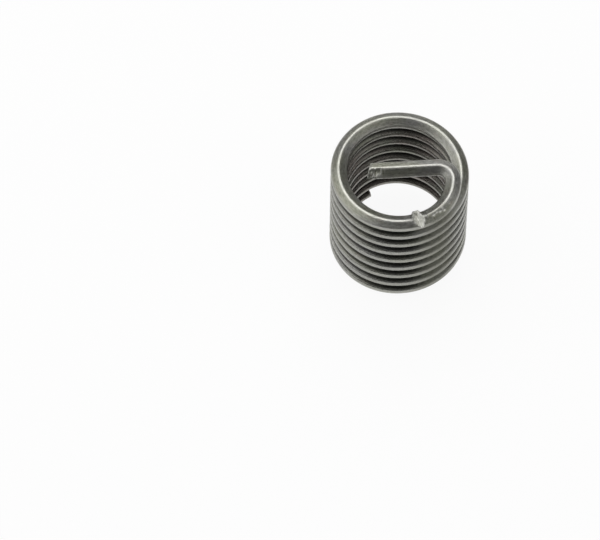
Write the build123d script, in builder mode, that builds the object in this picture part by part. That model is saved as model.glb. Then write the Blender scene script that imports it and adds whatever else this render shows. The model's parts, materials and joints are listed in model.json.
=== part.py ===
from build123d import *
from math import cos, floor, pi, radians, sin, tan
import os

# Helical thread insert for a 12 mm coarse-thread screw: one steel wire of diamond section, wound as a
# right-hand coil. It stands on its plain end and +Z is the coil's axis. At the top the tang, which the
# fitting tool drives, crosses the bore parallel to X. Millimetres and degrees.

# Coil
PITCH = 1.75
TURNS = 8.5  # from the plain end to where the tang leaves the coil
OUTER_DIAMETER = 14.8  # over the crests, with the coil relaxed
FREE_TURNS = 0.75  # at least this much of the coil below the tang keeps its crests as rolled

# Wire section: a diamond with its long diagonal radial and a flat on its outer and inner crests
TURN_GAP = 0.2  # between neighbouring turns
THREAD_ANGLE = 60.0
OUTER_CREST_FLAT = 0.6
INNER_CREST_FLAT = 0.48
TRIM_ALLOWANCE = 0.1  # how far each crest is drawn past its cylinder before it is trimmed to it

# Tang: a slack lead, a tight bend and a straight bar across the coil's axis
TANG_LEAD_TURN = 59.0
TANG_BEND_TURN = 93.5
TANG_BEND_RADIUS = 1.75
TANG_REACH = 3.35  # from the coil's axis to the bar's cut end

# Break-off notch: a V across the top of the wire, where the tang snaps away after fitting
NOTCH_SETBACK = 1.5  # along the wire, from the tang's start back to the notch
NOTCH_WIDTH = 1.4
NOTCH_DEPTH = 0.72

flank_slope = tan(radians(THREAD_ANGLE / 2))
wire_width = PITCH - TURN_GAP
outer_leg = (wire_width - OUTER_CREST_FLAT) / 2 / flank_slope
inner_leg = (wire_width - INNER_CREST_FLAT) / 2 / flank_slope
outer_radius = OUTER_DIAMETER / 2
ridge_radius = outer_radius - outer_leg
inner_radius = ridge_radius - inner_leg

tang_turn = TANG_LEAD_TURN + TANG_BEND_TURN
trimmed_quarters = floor((TURNS - FREE_TURNS) * 4)
free_turns = TURNS - trimmed_quarters / 4
notch_turns = TURNS - NOTCH_SETBACK / (2 * pi * ridge_radius)
plain_end_angle = 90 - tang_turn - 360 * TURNS


def up_the_coil(turns):
    """Moves a piece drawn where the wire crosses the XZ plane to the place that many turns up the coil."""
    return Location((0, 0, wire_width / 2 + turns * PITCH), (0, 0, plain_end_angle + 360 * turns))


def wire_section(proud=0.0):
    """The section where the wire crosses the XZ plane; proud is how far its crests pass their cylinders."""
    outer = outer_leg + proud
    inner = inner_leg + proud
    with BuildSketch(Plane.XZ) as section:
        with BuildLine():
            upper = Polyline(
                (ridge_radius + outer, 0),
                (ridge_radius + outer, wire_width / 2 - outer * flank_slope),
                (ridge_radius, wire_width / 2),
                (ridge_radius - inner, wire_width / 2 - inner * flank_slope),
                (ridge_radius - inner, 0),
            )
            mirror(upper, about=Plane.XZ)
        make_face()
    return section.sketch


# A quarter turn with its crests trimmed to the cylinders that meet the screw and the tapped hole
with BuildPart() as quarter_turn:
    with BuildLine() as quarter_path:
        Helix(pitch=PITCH, height=PITCH / 4, radius=ridge_radius)
    sweep(wire_section(proud=TRIM_ALLOWANCE), path=quarter_path.line, is_frenet=True, clean=False)
    with BuildSketch(Plane.XY.offset(-PITCH)):
        Circle(outer_radius)
        Circle(inner_radius, mode=Mode.SUBTRACT)
    extrude(amount=3 * PITCH, mode=Mode.INTERSECT, clean=False)

# The rest of the coil, up to the tang
with BuildPart() as free_turn:
    with BuildLine() as free_path:
        Helix(pitch=PITCH, height=PITCH * free_turns, radius=ridge_radius)
    sweep(wire_section(), path=free_path.line, is_frenet=True, clean=False)

# The tang lies on the plane of the coil's last tangent and the radius there, where the coil's axis is
# at (0, ridge_radius). The lead's radius is the one that brings the bar across that point
along = Vector(cos(radians(tang_turn)), sin(radians(tang_turn)))
across = Vector(-along.Y, along.X)
lead_step = Vector(sin(radians(TANG_LEAD_TURN)), 1 - cos(radians(TANG_LEAD_TURN)))
bend_step = Vector(along.Y, 1 - along.X) - lead_step
bend_to_axis = Vector(0, ridge_radius) - bend_step * TANG_BEND_RADIUS
lead_radius = bend_to_axis.dot(across) / lead_step.dot(across)
bar_length = TANG_REACH + (bend_to_axis - lead_step * lead_radius).dot(along)

with BuildPart() as tang:
    coil_tangent = free_path.line % 0
    inward = Vector(-1, 0, 0)
    tang_plane = Plane(origin=(ridge_radius, 0, 0), x_dir=coil_tangent, z_dir=coil_tangent.cross(inward))
    with BuildLine(tang_plane) as tang_path:
        lead = JernArc(start=(0, 0), tangent=(1, 0), radius=lead_radius, arc_size=TANG_LEAD_TURN)
        bend = JernArc(start=lead @ 1, tangent=lead % 1, radius=TANG_BEND_RADIUS, arc_size=TANG_BEND_TURN)
        Line(bend @ 1, bend @ 1 + bend % 1 * bar_length)
    # the same path one pitch higher keeps the section upright all the way along
    guide = Wire(tang_path.line.moved(Location((0, 0, PITCH))).edges())
    sweep(wire_section(), path=tang_path.line, binormal=guide, clean=False)

# The cutter for the notch: its V is NOTCH_WIDTH wide where it meets the top of the wire
with BuildPart() as notch:
    with BuildSketch(Plane(origin=(ridge_radius, 0, 0), x_dir=(0, 1, 0), z_dir=(1, 0, 0))):
        with BuildLine():
            Polyline(
                (0, wire_width / 2 - NOTCH_DEPTH),
                (NOTCH_WIDTH, wire_width / 2 + NOTCH_DEPTH),
                (-NOTCH_WIDTH, wire_width / 2 + NOTCH_DEPTH),
                close=True,
            )
        make_face()
    extrude(amount=wire_width, both=True)

with BuildPart() as thread_insert:
    with Locations(*[up_the_coil(quarter / 4) for quarter in range(trimmed_quarters)]):
        add(quarter_turn.part, clean=False)
    with Locations(up_the_coil(trimmed_quarters / 4)):
        add(free_turn.part, clean=False)
    with Locations(up_the_coil(TURNS)):
        add(tang.part, clean=False)
    with Locations(up_the_coil(notch_turns)):
        add(notch.part, mode=Mode.SUBTRACT, clean=False)

thread_insert.part.label = "thread_insert"
os.makedirs("parts", exist_ok=True)
export_step(thread_insert.part, "parts/thread_insert.step")
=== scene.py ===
"""Looks for the helical thread insert: one drawn steel wire, finely meshed, in place of its plain solid.

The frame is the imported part's: +Z is the coil's axis and the plain end stands on z = 0. Named values are in
millimetres and degrees unless they say otherwise. A point (u, w) of the wire's section lies u outwards and w
up from the section's middle, which is halfway between the wire's ridges and follows the coil's ridge radius.
"""
import json
from math import atan2, ceil, cos, degrees, exp, hypot, pi, radians, sin, tan

import bpy
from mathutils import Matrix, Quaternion, Vector, noise


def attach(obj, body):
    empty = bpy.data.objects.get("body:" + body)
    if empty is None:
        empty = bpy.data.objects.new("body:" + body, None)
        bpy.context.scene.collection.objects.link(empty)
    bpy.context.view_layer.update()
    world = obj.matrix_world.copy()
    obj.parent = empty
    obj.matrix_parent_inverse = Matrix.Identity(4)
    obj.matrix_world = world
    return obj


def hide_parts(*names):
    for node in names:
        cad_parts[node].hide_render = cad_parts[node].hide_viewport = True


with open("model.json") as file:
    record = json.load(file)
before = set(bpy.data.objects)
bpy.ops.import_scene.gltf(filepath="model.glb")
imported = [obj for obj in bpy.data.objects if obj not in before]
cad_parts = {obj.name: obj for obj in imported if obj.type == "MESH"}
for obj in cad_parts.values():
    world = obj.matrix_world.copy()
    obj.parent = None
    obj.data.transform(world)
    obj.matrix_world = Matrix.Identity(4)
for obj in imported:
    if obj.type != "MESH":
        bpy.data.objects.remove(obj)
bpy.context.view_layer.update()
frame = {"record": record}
scene = bpy.context.scene

MM = 0.001
UP = Vector((0, 0, 1))

# The part's own named values
PITCH = 1.75
TURNS = 8.5
TURN_GAP = 0.2
THREAD_ANGLE = 60.0
OUTER_CREST_FLAT = 0.6
INNER_CREST_FLAT = 0.48
TANG_LEAD_TURN = 59.0
TANG_BEND_TURN = 93.5
TANG_BEND_RADIUS = 1.75
TANG_REACH = 3.35
NOTCH_SETBACK = 1.5
NOTCH_WIDTH = 1.4
NOTCH_DEPTH = 0.72

mounts = {mount["name"]: mount for mount in frame["record"]["mounts"]}
outer_radius = mounts["outer_thread"]["dims"]["r_mm"]
flank_slope = tan(radians(THREAD_ANGLE / 2))
wire_width = PITCH - TURN_GAP
outer_leg = (wire_width - OUTER_CREST_FLAT) / 2 / flank_slope
inner_leg = (wire_width - INNER_CREST_FLAT) / 2 / flank_slope
ridge_radius = outer_radius - outer_leg
tang_turn = TANG_LEAD_TURN + TANG_BEND_TURN
plain_end_angle = radians(90 - tang_turn - 360 * TURNS)
rise = PITCH / (2 * pi)
turn_length = 2 * pi * hypot(ridge_radius, rise)
coil_length = TURNS * turn_length
notch_at = coil_length - NOTCH_SETBACK

# How the drawn, wound and bent wire differs from the plain solid
OUTER_ROUNDING = 0.32
INNER_ROUNDING = 0.28
RIDGE_ROUNDING = 0.34
TANG_ROLL = 11.0  # the bar's section leans over as the wire is bent
TURN_SWAY = 0.024  # how far the turns wander inwards at most
SWAY_PACE = 0.11  # humps of that wander for each millimetre of wire
TURN_LIFT = 0.03  # how far they wander up or down
LIFT_PACE = 0.07

# The break-off notch, which a tool standing a little askew has cut and pressed
NOTCH_SKEW = 0.12  # the valley's shift along the wire for each millimetre outwards
CUT_ROUGHNESS = 0.075
CUT_FROM = -0.1  # the height in the section from which the cut and its burrs show
BURR_HEIGHT = 0.09
BURR_OFFSET = 0.03  # from the notch's edge to the burr's top
BURR_SPREAD = 0.1
BURR_REACH = 0.4  # from the notch's edge to the end of its burr
BULGE = 0.27  # metal that the tool pushed into the bore
BULGE_FROM = 0.3  # how far inside the ridge the bulge starts
BULGE_OFFSET = -0.05
BULGE_HALF_LENGTH = 0.35
BULGE_SPREAD = 0.14

# The wire's two ends: the tang's tip is sheared and crushed, and the plain end is only cut off
CUT_END_REACH = 0.5
CUT_END_ROUGHNESS = 0.06
TIP_SLANT = 0.25
TIP_PINCH = 0.05
TIP_DROOP = 0.05
CRUSHED_LENGTH = 1.9
CRUSHED_BELOW = 0.3  # how far under the section's middle the crushed front reaches
CRUSHED_OUTSIDE = 0.05  # and how far outside it
CRUSH_DOWN = 0.15
CRUSH_OUT = 0.07

# Tool marks beside the notch: place along the wire and across it, half length, half width, and a depth
# that is negative where metal was raised
TOOL_MARKS = [
    (1.62, 0.22, 0.2, 0.09, 0.16),
    (2.05, 0.18, 0.14, 0.08, 0.11),
    (2.38, 0.24, 0.15, 0.11, 0.2),
    (2.82, 0.4, 0.15, 0.12, 0.2),
    (2.75, 0.22, 0.12, 0.1, -0.06),
    (0.16, 0.72, 0.13, 0.2, -0.2),
    (0.46, 0.42, 0.1, 0.14, -0.1),
    (-0.08, -0.72, 0.1, 0.13, 0.3),
    (0.86, 0.02, 0.1, 0.16, -0.12),
]
OUTER_MARK_FROM = 0.6  # marks further out than this also change how far out the wire reaches

# How finely the wire is meshed; the stretch beside the notch carries the burrs and tool marks
COIL_STEP = 0.45
MARKED_STEP = 0.045
MARKED_FROM = -1.1
MARKED_TO = 3.3
LEAD_STEP = 0.07
BEND_STEP = 0.09
BAR_STEP = 0.06
FLANK_SPLITS = 5
CREST_SPLITS = 2
CORNER_WEAR = [0.3, 0.7, 1.0, 1.0, 1.0, 0.7, 0.3]  # round each corner, one value for each point

# Painted shade between the turns, standing in for the shade the turns cast on each other, with oil and oxide
# there, and the outside where handling smeared them
COVER_FADE = 3.0  # over this stretch the painted shade and oil fade out where a turn ends
CREST_SHADE_AND_OIL = 0.15  # the painted shade and oil on the crests, as a share of what lies on the ridges
SMEAR_FACING = 32.0  # 0 is the camera's side and 90 is +X
SMEAR_SPREAD = 17.0
SMEAR_ON_TANG = 2.0

# Steel's colours: plain, stained by oil, tinted by heat, smeared, rubbed bright and freshly cut
GREY = (0.25, 0.248, 0.235, 1)
OLIVE = (0.252, 0.255, 0.21, 1)
BROWN = (0.262, 0.232, 0.208, 1)
SMEARED = (0.25, 0.254, 0.205, 1)
WORN = (0.25, 0.25, 0.233, 1)
FRESH = (0.64, 0.64, 0.6, 1)

# Patterns on the steel: spots per millimetre along the wire and round its section, detail, roughness
STREAKS = (0.7, 11.0, 5.0, 0.6)
SPECKLE = (4.5, 8.0, 3.0, 0.7)
MOTTLE = (2.0, 3.4, 4.0, 0.7)
STAINS = (0.16, 0.5, 2.0, 0.6)
BLOTCHES = (0.9, 1.7, 3.0, 0.6)

WORN_BRIGHTER = 0.75
WORN_INSIDE = 0.45  # in the bore the edges are rubbed less, to this share
DEEPEST_SHADE = 0.17  # the share of brightness that the painted shade and oil leave deep between the turns
INSIDE_SHADE = 0.85  # and the share that is left of that in the bore
GRAIN_DEPTH = 0.04  # of the fine relief in the material

# Studio, in metres; azimuth 0 is the camera's side and 90 is +X
FLOOR_HALF_SIDE = 0.6
FLOOR_WHITE = 0.93
FLOOR_ROUGHNESS = 0.9
GLOSSY_FLOOR = 0.85  # how much of the floor's light is its own where the steel mirrors it
CAMERA_FLOOR = 0.93  # and where the camera sees it, so that it shows white and keeps a shadow
WORLD_STRENGTH = 0.13
SOFTBOX_DISTANCE = 0.4
# Softboxes: name, azimuth, elevation, width, height, radiance
SOFTBOXES = [
    ("left_box", -97, 44, 0.46, 0.34, 1.3),
    ("overhead_box", 178, 60, 0.34, 0.46, 2.0),
    ("right_box", 70, 48, 0.34, 0.24, 0.8),
]

# Camera: it looks down on the coil, whose top shows above and to the right of the picture's middle
CAMERA_AZIMUTH = -4.9
CAMERA_ELEVATION = 61.1
CAMERA_ROLL = 2.1
CAMERA_DISTANCE = 700.0
SENSOR_WIDTH = 36.0
VIEW_WIDTH = 63.83  # what the picture is wide at the coil
AIM_HEIGHT = 15.625  # of the point on the coil's axis that the camera is aimed by
AIM_RIGHT = 10.64  # of the picture's middle
AIM_ABOVE = 10.72


def rough(x, y, z=0.0):
    """Smooth noise from -1 to 1 with humps about one unit long; a fixed coordinate picks the pattern."""
    return noise.noise(Vector((x, y, z)))


def hill(offset, half_width):
    """A smooth hill, 1 at no offset and nearly gone at twice the half width."""
    return exp(-((offset / half_width) ** 2))


def ramp(distance):
    """0 up to no distance and 1 from COVER_FADE onwards."""
    return min(1.0, max(0.0, distance / COVER_FADE))


def rounded_corner(corner, before, after, radius):
    """Points of the arc that rounds a corner between two sides, one for each value of CORNER_WEAR."""
    a = (before - corner).normalized()
    b = (after - corner).normalized()
    half_angle = a.angle(b) / 2
    centre = corner + (a + b).normalized() * (radius / sin(half_angle))
    start = corner + a * (radius / tan(half_angle)) - centre
    end = corner + b * (radius / tan(half_angle)) - centre
    turn = start.angle(end)
    steps = len(CORNER_WEAR) - 1
    points = []
    for i in range(steps + 1):
        t = i / steps
        points.append(centre + (start * sin((1 - t) * turn) + end * sin(t * turn)) / sin(turn))
    return points


def wire_section():
    """The rounded diamond, anticlockwise from its outer crest: its points and how worn each of them is."""
    corners = [
        (Vector((outer_leg, OUTER_CREST_FLAT / 2)), OUTER_ROUNDING),
        (Vector((0, wire_width / 2)), RIDGE_ROUNDING),
        (Vector((-inner_leg, INNER_CREST_FLAT / 2)), INNER_ROUNDING),
        (Vector((-inner_leg, -INNER_CREST_FLAT / 2)), INNER_ROUNDING),
        (Vector((0, -wire_width / 2)), RIDGE_ROUNDING),
        (Vector((outer_leg, -OUTER_CREST_FLAT / 2)), OUTER_ROUNDING),
    ]
    places = [place for place, rounding in corners]
    after = places[1:] + places[:1]
    arcs = []
    for i, (place, rounding) in enumerate(corners):
        arcs.append(rounded_corner(place, places[i - 1], after[i], rounding))
    outline = []
    wear = []
    for i, arc in enumerate(arcs):
        outline.extend(arc)
        wear.extend(CORNER_WEAR)
        # the straight side that follows
        end = arcs[(i + 1) % len(arcs)][0]
        on_crest = places[i].x == after[i].x
        splits = CREST_SPLITS if on_crest else FLANK_SPLITS
        for k in range(1, splits):
            outline.append(arc[-1].lerp(end, k / splits))
            wear.append(1.0 if on_crest else 0.0)
    return outline, wear


def groove_depth(point):
    """How deep between the turns a point of the section lies: 0 on the crests and 1 on the ridges."""
    leg = outer_leg if point.x > 0 else inner_leg
    return 1 - min(1.0, abs(point.x) / leg)


def tang_route():
    """The lead's radius and the bar's length that bring the bar across the coil's axis, as in the part."""
    along = Vector((cos(radians(tang_turn)), sin(radians(tang_turn))))
    across = Vector((-along.y, along.x))
    lead_step = Vector((sin(radians(TANG_LEAD_TURN)), 1 - cos(radians(TANG_LEAD_TURN))))
    bend_step = Vector((along.y, 1 - along.x)) - lead_step
    to_axis = Vector((0, ridge_radius)) - bend_step * TANG_BEND_RADIUS
    lead_radius = to_axis.dot(across) / lead_step.dot(across)
    bar_length = TANG_REACH + (to_axis - lead_step * lead_radius).dot(along)
    return lead_radius, bar_length


def coil_stations():
    """Stations up the coil from the plain end: (place, outward, roll, distance along the wire)."""
    stations = []
    distance = 0.0
    while distance < coil_length - 1e-6:
        turns = distance / turn_length
        angle = plain_end_angle + 2 * pi * turns
        outward = Vector((cos(angle), sin(angle), 0))
        sway = -TURN_SWAY / 2 * (1 + rough(distance * SWAY_PACE, 3.1))
        lift = TURN_LIFT * rough(distance * LIFT_PACE, 8.7) * min(1.0, turns)
        height = wire_width / 2 + turns * PITCH + lift
        stations.append((outward * (ridge_radius + sway) + UP * height, outward, 0.0, distance))
        marked = MARKED_FROM < distance - notch_at < MARKED_TO
        distance = min(distance + (MARKED_STEP if marked else COIL_STEP), coil_length)
    return stations


def tang_stations():
    """Stations along the tang, which turns inwards with its lead and bend radii and then runs straight."""
    lead_radius, bar_length = tang_route()
    angle = plain_end_angle + 2 * pi * TURNS
    inward = -Vector((cos(angle), sin(angle), 0))
    start = -inward * ridge_radius + UP * (wire_width / 2 + TURNS * PITCH)
    heading = angle + pi / 2
    tangent = Vector((cos(heading) * ridge_radius, sin(heading) * ridge_radius, rise)).normalized()
    legs = [
        (lead_radius * radians(TANG_LEAD_TURN), 1 / lead_radius, LEAD_STEP),
        (TANG_BEND_RADIUS * radians(TANG_BEND_TURN), 1 / TANG_BEND_RADIUS, BEND_STEP),
        (bar_length, 0.0, BAR_STEP),
    ]
    # along the tangent, inwards, angle turned, distance along the wire
    route = [(0.0, 0.0, 0.0, coil_length)]
    for length, curvature, wanted_step in legs:
        count = ceil(length / wanted_step)
        step = length / count
        chord = 2 / curvature * sin(curvature * step / 2) if curvature else step
        for _ in range(count):
            x, y, turned, distance = route[-1]
            halfway = turned + curvature * step / 2
            x += chord * cos(halfway)
            y += chord * sin(halfway)
            route.append((x, y, turned + curvature * step, distance + step))
    stations = []
    for x, y, turned, distance in route:
        forward = tangent * cos(turned) + inward * sin(turned)
        outward = forward.cross(UP).normalized()
        roll = turned * TANG_ROLL / tang_turn
        stations.append((start + tangent * x + inward * y, outward, roll, distance))
    return stations


def notched(u, w, along):
    """Moves a point of the section beside the notch, and says how freshly cut the metal is there."""
    fresh = 0.0
    edge = abs(along) - NOTCH_WIDTH / 2
    if w > CUT_FROM and edge < BURR_REACH:
        slope = 2 * NOTCH_DEPTH / NOTCH_WIDTH
        jagged = CUT_ROUGHNESS * (rough(along * 7, u * 5, 2.0) + 0.7 * rough(along * 19, u * 15, 5.0))
        floor = wire_width / 2 - NOTCH_DEPTH + abs(along - NOTCH_SKEW * u) * slope + jagged
        ragged = 1 + rough(u * 4, along * 3, 9.0)
        w += BURR_HEIGHT * hill(edge - BURR_OFFSET, BURR_SPREAD) * max(0.0, w) * ragged
        if w > floor:
            w = floor
            fresh = 1.0
        if u < -BULGE_FROM:
            past = max(0.0, abs(along - BULGE_OFFSET) - BULGE_HALF_LENGTH)
            pushed = BULGE * hill(past, BULGE_SPREAD) * (-BULGE_FROM - u) / (inner_leg - BULGE_FROM)
            u -= pushed
            w += 0.5 * pushed
            fresh = max(fresh, min(1.0, 4 * pushed))
    if w > 0:
        for mark_along, mark_across, half_length, half_width, depth in TOOL_MARKS:
            strength = hill(along - mark_along, half_length) * hill(u - mark_across, half_width)
            w -= depth * strength
            if mark_across > OUTER_MARK_FROM:
                u -= depth * strength
            fresh = max(fresh, min(1.0, 1.6 * strength))
    return u, w, fresh


def sheared(u, w, to_tip):
    """Moves a point of the section near the tang's tip, and says how freshly cut the metal is there."""
    nearness = max(0.0, 1 - to_tip / CUT_END_REACH)
    u *= 1 - TIP_PINCH * nearness ** 3
    w *= 1 - TIP_PINCH * nearness ** 3
    w -= TIP_DROOP * nearness ** 2
    fresh = 0.5 * nearness
    if w > -CRUSHED_BELOW and u < CRUSHED_OUTSIDE:
        crush = 1 - to_tip / CRUSHED_LENGTH
        girth = w - u
        pits = 0.5 + 1.3 * rough(to_tip * 3.6, girth * 3.0, 4.0) + 0.7 * rough(to_tip * 8, girth * 7, 6.0)
        deep = min(1.0, 2.2 * crush) * min(1.0, (CRUSHED_OUTSIDE - u) / 0.25) * max(0.0, pits)
        w -= CRUSH_DOWN * deep
        u += CRUSH_OUT * deep
        fresh = max(fresh, min(0.7, 2 * crush) * min(1.0, max(0.0, 1.2 - 2.0 * pits)))
    return u, w, fresh


def worked(u, w, distance, to_tip):
    """A point of the section as the tools left it: (outward, up, shift along the wire, how freshly cut)."""
    shift = 0.0
    fresh = 0.0
    along = distance - notch_at
    if MARKED_FROM < along < MARKED_TO:
        u, w, fresh = notched(u, w, along)
    if to_tip < CRUSHED_LENGTH:
        u, w, fresh = sheared(u, w, to_tip)
        torn = CUT_END_ROUGHNESS * (rough(u * 5, w * 5, 1.0) + rough(u * 13, w * 13, 7.0))
        shift = max(0.0, 1 - to_tip / CUT_END_REACH) * (-TIP_SLANT * u + torn)
    if distance < CUT_END_REACH:
        shift = (1 - distance / CUT_END_REACH) * CUT_END_ROUGHNESS * rough(u * 6, w * 6, 3.0)
    return u, w, shift, fresh


def smeared(place, distance):
    """How strongly handling smeared the coil's outside at a place."""
    if distance > coil_length + SMEAR_ON_TANG:
        return 0.0
    facing = degrees(atan2(place.x, -place.y))
    return hill(facing - SMEAR_FACING, SMEAR_SPREAD)


def wire_mesh():
    """The whole wire: a ring of the section's points at each station, each with values for the material."""
    section, wear = wire_section()
    girth = [0.0]
    for a, b in zip(section, section[1:]):
        girth.append(girth[-1] + (b - a).length)
    stations = coil_stations() + tang_stations()
    wire_length = stations[-1][3]
    verts = []
    grain = []
    marks_and_shade = []
    stains = []
    for place, outward, roll, distance in stations:
        forward = UP.cross(outward)
        across = outward * cos(roll) + UP * sin(roll)
        upward = UP * cos(roll) - outward * sin(roll)
        # a groove has a turn on both sides, so the free sides of the first and last turns get no painted
        # shade or oil
        cover_above = ramp(coil_length - turn_length - distance)
        cover_below = min(ramp(distance - turn_length), ramp(coil_length - distance))
        smear = smeared(place, distance)
        for j, point in enumerate(section):
            u, w, shift, fresh = worked(*point, distance, wire_length - distance)
            verts.append((place + across * u + upward * w + forward * shift) * MM)
            cover = cover_above if point.y > 0 else cover_below
            # painted shade with oil: darker the deeper a point lies between two neighbouring turns
            groove_shade_and_oil = cover * (CREST_SHADE_AND_OIL + (1 - CREST_SHADE_AND_OIL) * groove_depth(point))
            grain.append((distance, girth[j], 0.0))
            marks_and_shade.append((wear[j], fresh, groove_shade_and_oil))
            # the outside is smeared, and the bore below its top turn is tinted, less rubbed and painted
            # darker as shade
            stains.append((smear, 0.0, 0.0) if u > 0 else (0.0, cover_above, 0.0))
    count = len(section)
    faces = []
    for ring in range(len(stations) - 1):
        for j in range(count):
            a = ring * count + j
            b = ring * count + (j + 1) % count
            faces.append((a, a + count, b + count, b))
    last_ring = (len(stations) - 1) * count
    faces.append(tuple(range(count)))
    faces.append(tuple(reversed(range(last_ring, last_ring + count))))
    mesh = bpy.data.meshes.new("thread_insert_wire")
    mesh.from_pydata(verts, [], faces)
    for name, values in (("wire_grain", grain), ("wire_marks_and_shade", marks_and_shade), ("wire_stains_and_bore_shade", stains)):
        attribute = mesh.attributes.new(name, "FLOAT_VECTOR", "POINT")
        for item, value in zip(attribute.data, values):
            item.vector = value
    # the two cut ends have many corners and stay flat
    for polygon in mesh.polygons:
        polygon.use_smooth = len(polygon.vertices) == 4
    mesh.validate()
    mesh.update()
    return mesh


class Nodes:
    """A short way to add and join the nodes of one material."""

    def __init__(self, material):
        material.use_nodes = True
        self.tree = material.node_tree
        self.shader = self.tree.nodes["Principled BSDF"]

    def feed(self, socket, value):
        """Gives a socket another socket's value, or a plain one."""
        if hasattr(value, "is_linked"):
            self.tree.links.new(value, socket)
        else:
            socket.default_value = value

    def add(self, kind, inputs=None, **settings):
        node = self.tree.nodes.new(kind)
        for key, value in settings.items():
            setattr(node, key, value)
        for key, value in (inputs or {}).items():
            self.feed(node.inputs[key], value)
        return node

    def plus(self, a, b):
        return self.add("ShaderNodeMath", {0: a, 1: b}, operation="ADD").outputs[0]

    def minus(self, a, b):
        return self.add("ShaderNodeMath", {0: a, 1: b}, operation="SUBTRACT").outputs[0]

    def times(self, a, b):
        return self.add("ShaderNodeMath", {0: a, 1: b}, operation="MULTIPLY").outputs[0]

    def larger(self, a, b):
        return self.add("ShaderNodeMath", {0: a, 1: b}, operation="MAXIMUM").outputs[0]

    def span(self, value, low, high, to_low=0.0, to_high=1.0):
        """Maps low and high to new values, evenly in between and flat beyond them."""
        inputs = {"Value": value, "From Min": low, "From Max": high, "To Min": to_low, "To Max": to_high}
        return self.add("ShaderNodeMapRange", inputs).outputs[0]

    def mix(self, factor, a, b):
        """Mixes two colours, from all a to all b."""
        return self.add("ShaderNodeMix", {0: factor, 6: a, 7: b}, data_type="RGBA").outputs[2]

    def attribute(self, name):
        return self.add("ShaderNodeAttribute", attribute_name=name).outputs["Vector"]

    def parts(self, vector):
        return self.add("ShaderNodeSeparateXYZ", {0: vector}).outputs

    def pattern(self, vector, along, around, detail, roughness):
        """Noise with so many spots for each millimetre along the wire and round its section."""
        mapping = self.add("ShaderNodeMapping", {"Vector": vector, "Scale": (along, around, 1.0)})
        inputs = {"Vector": mapping.outputs[0], "Scale": 1.0, "Detail": detail, "Roughness": roughness}
        return self.add("ShaderNodeTexNoise", inputs).outputs[0]


def steel():
    """Drawn steel wire: streaked and speckled, with painted shade and oil between the turns, and bright where
    rubbed or cut.
    """
    material = bpy.data.materials.new("steel_wire")
    nodes = Nodes(material)
    shader = nodes.shader
    grain = nodes.attribute("wire_grain")
    wear, fresh, groove_shade_and_oil = nodes.parts(nodes.attribute("wire_marks_and_shade"))
    smear, inside, _ = nodes.parts(nodes.attribute("wire_stains_and_bore_shade"))
    streaks = nodes.pattern(grain, *STREAKS)
    speckle = nodes.pattern(grain, *SPECKLE)
    mottle = nodes.pattern(grain, *MOTTLE)
    stains = nodes.pattern(grain, *STAINS)
    blotches = nodes.pattern(grain, *BLOTCHES)
    worn = nodes.times(wear, nodes.span(inside, 0.0, 1.0, 1.0, WORN_INSIDE))
    smear = nodes.times(smear, nodes.span(mottle, 0.38, 0.6, 0.45, 1.2))

    tint = nodes.mix(nodes.span(stains, 0.38, 0.62), OLIVE, GREY)
    tint = nodes.mix(nodes.span(blotches, 0.55, 0.75, 0.0, 0.8), tint, BROWN)
    tint = nodes.mix(nodes.times(inside, nodes.span(stains, 0.42, 0.6)), tint, BROWN)
    tint = nodes.mix(nodes.times(worn, 0.7), tint, WORN)

    # brightness, around 1
    tone = nodes.plus(nodes.span(streaks, 0.3, 0.7, 0.8, 1.2), nodes.span(speckle, 0.3, 0.7, -0.2, 0.2))
    tone = nodes.plus(tone, nodes.span(mottle, 0.32, 0.68, -0.26, 0.26))
    tone = nodes.plus(tone, nodes.times(worn, WORN_BRIGHTER))

    # painted shade with oil darkens the grooves, with a ragged edge that starts a little deeper inside the
    # bore
    reach = nodes.plus(groove_shade_and_oil, nodes.span(mottle, 0.3, 0.7, -0.06, 0.06))
    reach = nodes.minus(reach, nodes.times(inside, 0.06))
    shade = nodes.span(reach, 0.24, 0.46, 1.0, DEEPEST_SHADE)
    # painted shade: the bore is darker still
    shade = nodes.times(shade, nodes.span(inside, 0.0, 1.0, 1.0, INSIDE_SHADE))
    # painted light and shade: flanks with no turn beside them, such as the top turn's upper side, are painted
    # lighter, as if lit from above, and covered flanks darker
    shade = nodes.times(shade, nodes.span(groove_shade_and_oil, 0.0, CREST_SHADE_AND_OIL, 1.08, 0.9))
    shade = nodes.larger(shade, nodes.times(smear, 0.8))
    tone = nodes.times(tone, shade)

    toned = nodes.add("ShaderNodeVectorMath", {0: tint, "Scale": tone}, operation="SCALE").outputs[0]
    toned = nodes.mix(nodes.times(smear, 0.6), toned, SMEARED)
    nodes.feed(shader.inputs["Base Color"], nodes.mix(fresh, toned, FRESH))
    shader.inputs["Metallic"].default_value = 1.0

    # flanks with no turn beside them are duller, and so are cut and smeared places
    roughness = nodes.span(streaks, 0.3, 0.7, 0.18, 0.34)
    roughness = nodes.plus(roughness, nodes.span(groove_shade_and_oil, 0.0, CREST_SHADE_AND_OIL, 0.09, 0.0))
    roughness = nodes.plus(roughness, nodes.times(fresh, 0.08))
    roughness = nodes.plus(roughness, nodes.times(smear, 0.28))
    nodes.feed(shader.inputs["Roughness"], roughness)

    relief = nodes.plus(nodes.times(streaks, 0.5), speckle)
    grained = nodes.add("ShaderNodeBump", {"Strength": 0.8, "Distance": GRAIN_DEPTH * MM, "Height": relief})
    nodes.feed(shader.inputs["Normal"], grained.outputs[0])
    return material


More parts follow.
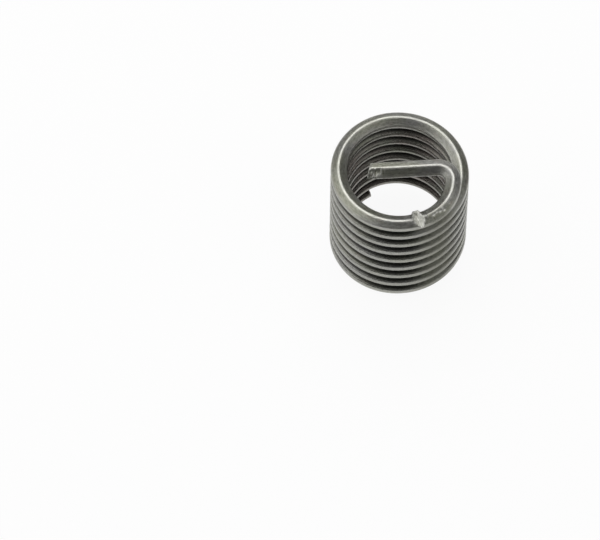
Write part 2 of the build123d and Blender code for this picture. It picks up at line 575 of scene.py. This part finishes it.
def studio_floor():
    """A matt floor that keeps the coil's shadow and shows white to the camera and in the steel."""
    half = FLOOR_HALF_SIDE
    corners = [(-half, -half, 0), (half, -half, 0), (half, half, 0), (-half, half, 0)]
    mesh = bpy.data.meshes.new("floor")
    mesh.from_pydata(corners, [], [(0, 1, 2, 3)])
    floor = bpy.data.objects.new("floor", mesh)
    scene.collection.objects.link(floor)
    material = bpy.data.materials.new("pale_floor")
    nodes = Nodes(material)
    shader = nodes.shader
    shader.inputs["Base Color"].default_value = (FLOOR_WHITE, FLOOR_WHITE, FLOOR_WHITE, 1)
    shader.inputs["Roughness"].default_value = FLOOR_ROUGHNESS
    shader.inputs["Specular IOR Level"].default_value = 0.0
    rays = nodes.add("ShaderNodeLightPath").outputs
    mirrored = nodes.times(rays["Is Glossy Ray"], GLOSSY_FLOOR)
    share = nodes.larger(mirrored, nodes.times(rays["Is Camera Ray"], CAMERA_FLOOR))
    white = nodes.add("ShaderNodeEmission", {"Color": (1, 1, 1, 1), "Strength": 1.0}).outputs[0]
    mixed = nodes.add("ShaderNodeMixShader", {0: share, 1: shader.outputs[0], 2: white}).outputs[0]
    nodes.feed(nodes.tree.nodes["Material Output"].inputs["Surface"], mixed)
    mesh.materials.append(material)


def direction(azimuth, elevation):
    """The direction from the coil towards a lamp or the camera."""
    a = radians(azimuth)
    e = radians(elevation)
    return Vector((sin(a) * cos(e), -cos(a) * cos(e), sin(e)))


def softbox(name, azimuth, elevation, width, height, radiance):
    """A rectangle of even light that faces the coil."""
    data = bpy.data.lights.new(name, "AREA")
    data.shape = "RECTANGLE"
    data.size = width
    data.size_y = height
    data.energy = radiance * pi * width * height
    lamp = bpy.data.objects.new(name, data)
    scene.collection.objects.link(lamp)
    back = direction(azimuth, elevation)
    lamp.location = back * SOFTBOX_DISTANCE
    lamp.rotation_mode = "QUATERNION"
    lamp.rotation_quaternion = back.to_track_quat("Z", "Y")


def studio_world():
    """A white surrounding that fills the shadows a little."""
    world = bpy.data.worlds.new("studio")
    scene.world = world
    world.use_nodes = True
    background = world.node_tree.nodes["Background"]
    background.inputs["Color"].default_value = (1, 1, 1, 1)
    background.inputs["Strength"].default_value = WORLD_STRENGTH


def studio_camera():
    """A distant camera, turned off the coil so that the coil shows beside the picture's middle."""
    data = bpy.data.cameras.new("camera")
    data.sensor_width = SENSOR_WIDTH
    data.lens = SENSOR_WIDTH * CAMERA_DISTANCE / VIEW_WIDTH
    data.clip_start = 0.05
    data.clip_end = 5.0
    camera = bpy.data.objects.new("camera", data)
    scene.collection.objects.link(camera)
    back = direction(CAMERA_AZIMUTH, CAMERA_ELEVATION)
    camera.location = (UP * AIM_HEIGHT + back * CAMERA_DISTANCE) * MM
    look = (-back).to_track_quat("-Z", "Y")
    roll = Quaternion((0, 0, 1), radians(CAMERA_ROLL))
    in_view = Vector((AIM_RIGHT, AIM_ABOVE, -CAMERA_DISTANCE))
    off_centre = in_view.rotation_difference(Vector((0, 0, -1)))
    camera.rotation_mode = "QUATERNION"
    camera.rotation_quaternion = look @ roll @ off_centre
    scene.camera = camera


wire = bpy.data.objects.new("thread_insert_wire", wire_mesh())
scene.collection.objects.link(wire)
wire.data.materials.append(steel())
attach(wire, "root")
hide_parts("thread_insert")

studio_floor()
studio_world()
for box in SOFTBOXES:
    softbox(*box)
studio_camera()
scene.view_settings.view_transform = "Standard"
